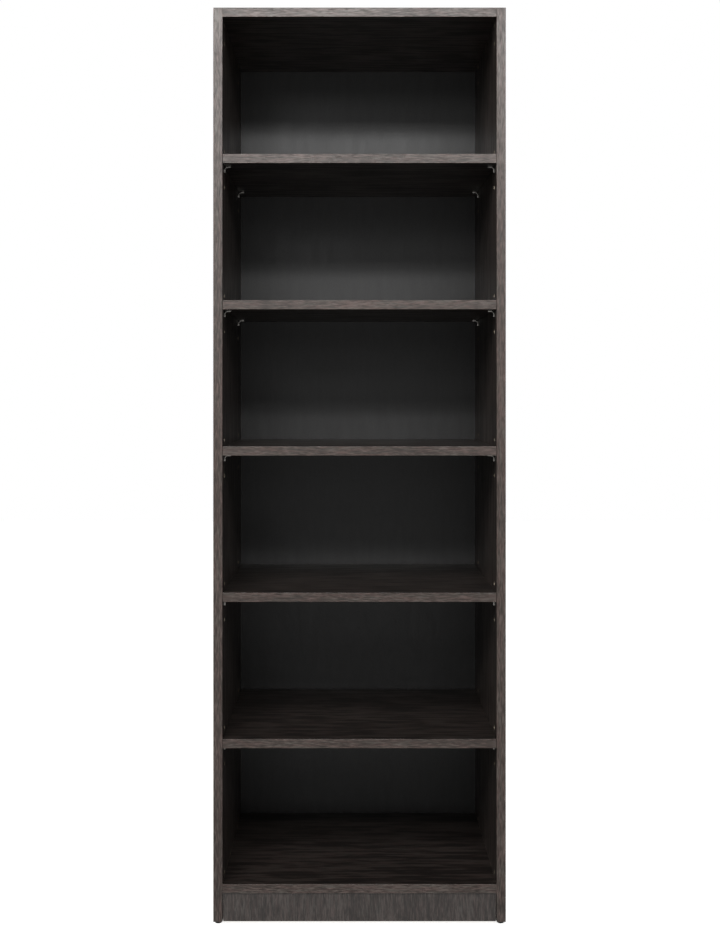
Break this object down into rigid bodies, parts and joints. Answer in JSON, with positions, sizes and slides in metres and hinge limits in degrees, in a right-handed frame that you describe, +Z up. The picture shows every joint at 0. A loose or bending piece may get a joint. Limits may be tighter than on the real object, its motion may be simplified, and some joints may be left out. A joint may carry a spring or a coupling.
{
  "type": "bookcase with adjustable shelves",
  "caption": "Tall narrow open bookcase of dark wood-grain board with a thin back, a kick board and adjustable shelves on bent metal supports pinned in rows of holes.",
  "frame": {"origin": "on the floor under the middle of the case", "axes": "+Z up, +X to the right seen from the front, -Y out of the open front"},
  "size_m": [0.512, 0.4, 1.605],
  "materials": {
    "wood_grain_board": "dark brown wood-grain melamine on particle board, satin",
    "edge_band": "dark brown wood-grain edging, satin, a little lighter than the boards",
    "back_board": "thin hardboard with a dark, fine-grained printed face, semi-matt",
    "nickel": "bright nickel plate",
    "zinc": "dull zinc",
    "black_plastic": "black moulded plastic",
    "beech": "bare beech, fluted"
  },
  "bodies": {
    "case": {"left_side": "wood_grain_board", "right_side": "wood_grain_board", "top_panel": "wood_grain_board", "bottom_panel": "wood_grain_board", "kick_board": "wood_grain_board", "back_panel": "back_board", "left_side_edging": "edge_band", "right_side_edging": "edge_band", "top_edging": "edge_band", "bottom_edging": "edge_band", "floor_glides": "black_plastic", "glide_nails": "zinc", "cam_locks": "zinc", "cam_bolts": "nickel", "cam_covers": "black_plastic", "dowels": "beech", "kick_blocks": "black_plastic", "kick_screws": "zinc"},
    "shelf_1": {"shelf_1": "wood_grain_board", "shelf_1_edging": "edge_band"},
    "shelf_2": {"shelf_2": "wood_grain_board", "shelf_2_edging": "edge_band"},
    "shelf_3": {"shelf_3": "wood_grain_board", "shelf_3_edging": "edge_band"},
    "shelf_4": {"shelf_4": "wood_grain_board", "shelf_4_edging": "edge_band"},
    "shelf_5": {"shelf_5": "wood_grain_board", "shelf_5_edging": "edge_band"},
    "support_1_front_left": {"support_1_front_left": "nickel"},
    "support_1_front_right": {"support_1_front_right": "nickel"},
    "support_1_rear_left": {"support_1_rear_left": "nickel"},
    "support_1_rear_right": {"support_1_rear_right": "nickel"},
    "support_2_front_left": {"support_2_front_left": "nickel"},
    "support_2_front_right": {"support_2_front_right": "nickel"},
    "support_2_rear_left": {"support_2_rear_left": "nickel"},
    "support_2_rear_right": {"support_2_rear_right": "nickel"},
    "support_3_front_left": {"support_3_front_left": "nickel"},
    "support_3_front_right": {"support_3_front_right": "nickel"},
    "support_3_rear_left": {"support_3_rear_left": "nickel"},
    "support_3_rear_right": {"support_3_rear_right": "nickel"},
    "support_4_front_left": {"support_4_front_left": "nickel"},
    "support_4_front_right": {"support_4_front_right": "nickel"},
    "support_4_rear_left": {"support_4_rear_left": "nickel"},
    "support_4_rear_right": {"support_4_rear_right": "nickel"},
    "support_5_front_left": {"support_5_front_left": "nickel"},
    "support_5_front_right": {"support_5_front_right": "nickel"},
    "support_5_rear_left": {"support_5_rear_left": "nickel"},
    "support_5_rear_right": {"support_5_rear_right": "nickel"}
  },
  "joints": [
    {"name": "shelf_1_slide", "type": "slide", "parent": "case", "child": "shelf_1", "axis": [0, -1, 0], "range_m": [0, 0.41]},
    {"name": "shelf_2_slide", "type": "slide", "parent": "case", "child": "shelf_2", "axis": [0, -1, 0], "range_m": [0, 0.41]},
    {"name": "shelf_3_slide", "type": "slide", "parent": "case", "child": "shelf_3", "axis": [0, -1, 0], "range_m": [0, 0.41]},
    {"name": "shelf_4_slide", "type": "slide", "parent": "case", "child": "shelf_4", "axis": [0, -1, 0], "range_m": [0, 0.41]},
    {"name": "shelf_5_slide", "type": "slide", "parent": "case", "child": "shelf_5", "axis": [0, -1, 0], "range_m": [0, 0.41]},
    {"name": "support_1_front_left_pull", "type": "slide", "parent": "case", "child": "support_1_front_left", "axis": [1, 0, 0], "range_m": [0, 0.009]},
    {"name": "support_1_front_right_pull", "type": "slide", "parent": "case", "child": "support_1_front_right", "axis": [-1, 0, 0], "range_m": [0, 0.009]},
    {"name": "support_1_rear_left_pull", "type": "slide", "parent": "case", "child": "support_1_rear_left", "axis": [1, 0, 0], "range_m": [0, 0.009]},
    {"name": "support_1_rear_right_pull", "type": "slide", "parent": "case", "child": "support_1_rear_right", "axis": [-1, 0, 0], "range_m": [0, 0.009]},
    {"name": "support_2_front_left_pull", "type": "slide", "parent": "case", "child": "support_2_front_left", "axis": [1, 0, 0], "range_m": [0, 0.009]},
    {"name": "support_2_front_right_pull", "type": "slide", "parent": "case", "child": "support_2_front_right", "axis": [-1, 0, 0], "range_m": [0, 0.009]},
    {"name": "support_2_rear_left_pull", "type": "slide", "parent": "case", "child": "support_2_rear_left", "axis": [1, 0, 0], "range_m": [0, 0.009]},
    {"name": "support_2_rear_right_pull", "type": "slide", "parent": "case", "child": "support_2_rear_right", "axis": [-1, 0, 0], "range_m": [0, 0.009]},
    {"name": "support_3_front_left_pull", "type": "slide", "parent": "case", "child": "support_3_front_left", "axis": [1, 0, 0], "range_m": [0, 0.009]},
    {"name": "support_3_front_right_pull", "type": "slide", "parent": "case", "child": "support_3_front_right", "axis": [-1, 0, 0], "range_m": [0, 0.009]},
    {"name": "support_3_rear_left_pull", "type": "slide", "parent": "case", "child": "support_3_rear_left", "axis": [1, 0, 0], "range_m": [0, 0.009]},
    {"name": "support_3_rear_right_pull", "type": "slide", "parent": "case", "child": "support_3_rear_right", "axis": [-1, 0, 0], "range_m": [0, 0.009]},
    {"name": "support_4_front_left_pull", "type": "slide", "parent": "case", "child": "support_4_front_left", "axis": [1, 0, 0], "range_m": [0, 0.009]},
    {"name": "support_4_front_right_pull", "type": "slide", "parent": "case", "child": "support_4_front_right", "axis": [-1, 0, 0], "range_m": [0, 0.009]},
    {"name": "support_4_rear_left_pull", "type": "slide", "parent": "case", "child": "support_4_rear_left", "axis": [1, 0, 0], "range_m": [0, 0.009]},
    {"name": "support_4_rear_right_pull", "type": "slide", "parent": "case", "child": "support_4_rear_right", "axis": [-1, 0, 0], "range_m": [0, 0.009]},
    {"name": "support_5_front_left_pull", "type": "slide", "parent": "case", "child": "support_5_front_left", "axis": [1, 0, 0], "range_m": [0, 0.009]},
    {"name": "support_5_front_right_pull", "type": "slide", "parent": "case", "child": "support_5_front_right", "axis": [-1, 0, 0], "range_m": [0, 0.009]},
    {"name": "support_5_rear_left_pull", "type": "slide", "parent": "case", "child": "support_5_rear_left", "axis": [1, 0, 0], "range_m": [0, 0.009]},
    {"name": "support_5_rear_right_pull", "type": "slide", "parent": "case", "child": "support_5_rear_right", "axis": [-1, 0, 0], "range_m": [0, 0.009]}
  ]
}
